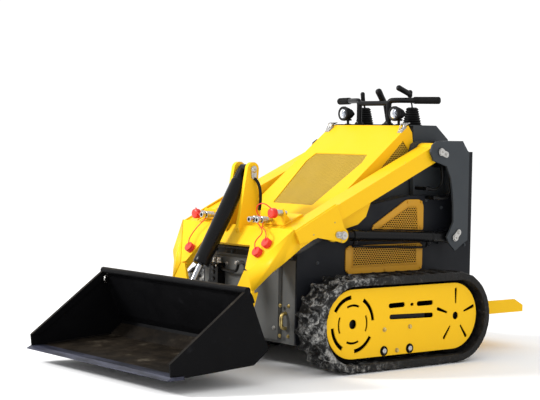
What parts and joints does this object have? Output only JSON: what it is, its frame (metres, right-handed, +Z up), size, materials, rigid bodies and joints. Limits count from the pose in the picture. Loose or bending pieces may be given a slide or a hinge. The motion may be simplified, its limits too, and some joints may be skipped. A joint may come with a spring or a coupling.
{
  "type": "compact track loader",
  "caption": "Stand-on compact track loader with yellow hood and lift arms, dark grey body, black bucket and rubber tracks.",
  "frame": {"origin": "on the ground, at the bottom centre of the bounding box", "axes": "+Z up; the bucket points to -Y; the machine's left side is +X"},
  "size_m": [1.08, 2.319, 1.2697],
  "materials": {
    "yellow_paint": "gloss",
    "dark_grey_paint": "satin",
    "black_paint": "satin",
    "screen_ochre": "satin",
    "engine_iron": "rough",
    "zinc_steel": "satin",
    "gold_zinc": "satin",
    "worn_steel": "satin",
    "chrome_rod": "polished",
    "track_rubber": "matt",
    "boot_rubber": "matt",
    "black_plastic": "matt",
    "lamp_glass": "clear"
  },
  "bodies": {
    "chassis": {"hull": "dark_grey_paint", "front_beam": "black_paint", "tie_down_eyes": "gold_zinc", "side_panel_left": "dark_grey_paint", "side_panel_right": "dark_grey_paint", "side_screens_left": "screen_ochre", "side_screens_right": "screen_ochre", "upper_body": "dark_grey_paint", "engine_block": "engine_iron", "tower_left": "dark_grey_paint", "tower_right": "dark_grey_paint", "tower_pins_left": "zinc_steel", "tower_pins_right": "zinc_steel", "track_left": "track_rubber", "track_right": "track_rubber", "track_frame_left": "black_paint", "track_frame_right": "black_paint", "track_wheels_left": "black_paint", "track_wheels_right": "black_paint", "track_cover_left": "yellow_paint", "track_cover_right": "yellow_paint", "console": "dark_grey_paint", "handlebar": "black_paint", "lever_boots": "boot_rubber", "levers": "black_plastic", "lamps": "black_plastic", "lamp_lenses": "lamp_glass", "hydraulic_lines": "boot_rubber"},
    "boom": {"boom_head": "yellow_paint", "arm_left": "yellow_paint", "arm_right": "yellow_paint", "boom_pins": "zinc_steel", "quick_couplers": "zinc_steel"},
    "bucket": {"bucket_shell": "black_paint", "cutting_edge": "worn_steel", "coupler": "black_paint"},
    "lift_barrel_left": {"lift_barrel_left": "black_paint"},
    "lift_barrel_right": {"lift_barrel_right": "black_paint"},
    "lift_rod_left": {"lift_rod_left": "chrome_rod"},
    "lift_rod_right": {"lift_rod_right": "chrome_rod"},
    "tilt_barrel": {"tilt_barrel": "black_paint"},
    "tilt_rod": {"tilt_rod": "chrome_rod"},
    "hood": {"hood": "yellow_paint", "hood_grilles": "screen_ochre", "hood_latches": "zinc_steel"},
    "platform": {"platform": "yellow_paint"}
  },
  "joints": [
    {"name": "boom_lift", "type": "hinge", "parent": "chassis", "child": "boom", "pos_m": [0, 0.4415, 0.96], "axis": [-1, 0, 0], "range_deg": [-2, 64]},
    {"name": "bucket_tilt", "type": "hinge", "parent": "boom", "child": "bucket", "pos_m": [0, -0.5665, 0.275], "axis": [-1, 0, 0], "range_deg": [-90, 25]},
    {"name": "lift_barrel_left_pivot", "type": "hinge", "parent": "chassis", "child": "lift_barrel_left", "pos_m": [0.374, 0.5445, 0.564], "axis": [-1, 0, 0], "range_deg": [-2, 47]},
    {"name": "lift_rod_left_slide", "type": "slide", "parent": "lift_barrel_left", "child": "lift_rod_left", "axis": [0, -0.9992, 0.0407], "range_m": [-0.012, 0.36]},
    {"name": "lift_barrel_right_pivot", "type": "hinge", "parent": "chassis", "child": "lift_barrel_right", "pos_m": [-0.374, 0.5445, 0.564], "axis": [-1, 0, 0], "range_deg": [-2, 47]},
    {"name": "lift_rod_right_slide", "type": "slide", "parent": "lift_barrel_right", "child": "lift_rod_right", "axis": [0, -0.9992, 0.0407], "range_m": [-0.012, 0.36]},
    {"name": "tilt_barrel_pivot", "type": "hinge", "parent": "boom", "child": "tilt_barrel", "pos_m": [0, -0.3665, 0.87], "axis": [-1, 0, 0], "range_deg": [-6, 2]},
    {"name": "tilt_rod_slide", "type": "slide", "parent": "tilt_barrel", "child": "tilt_rod", "axis": [0, -0.497, -0.8677], "range_m": [-0.046, 0.16]},
    {"name": "hood_open", "type": "hinge", "parent": "chassis", "child": "hood", "pos_m": [0, -0.1565, 0.655], "axis": [1, 0, 0], "range_deg": [0, 60]},
    {"name": "platform_fold", "type": "hinge", "parent": "chassis", "child": "platform", "pos_m": [0, 0.7685, 0.215], "axis": [1, 0, 0], "range_deg": [0, 85]}
  ],
  "couplings": [
    {"joint": "lift_barrel_left_pivot", "follows": "boom_lift", "ratio": 0.7219},
    {"joint": "lift_rod_left_slide", "follows": "boom_lift", "m_per_rad": 0.3211},
    {"joint": "lift_barrel_right_pivot", "follows": "boom_lift", "ratio": 0.7219},
    {"joint": "lift_rod_right_slide", "follows": "boom_lift", "m_per_rad": 0.3211},
    {"joint": "tilt_barrel_pivot", "follows": "bucket_tilt", "ratio": 0.0568},
    {"joint": "tilt_rod_slide", "follows": "bucket_tilt", "m_per_rad": -0.101}
  ]
}
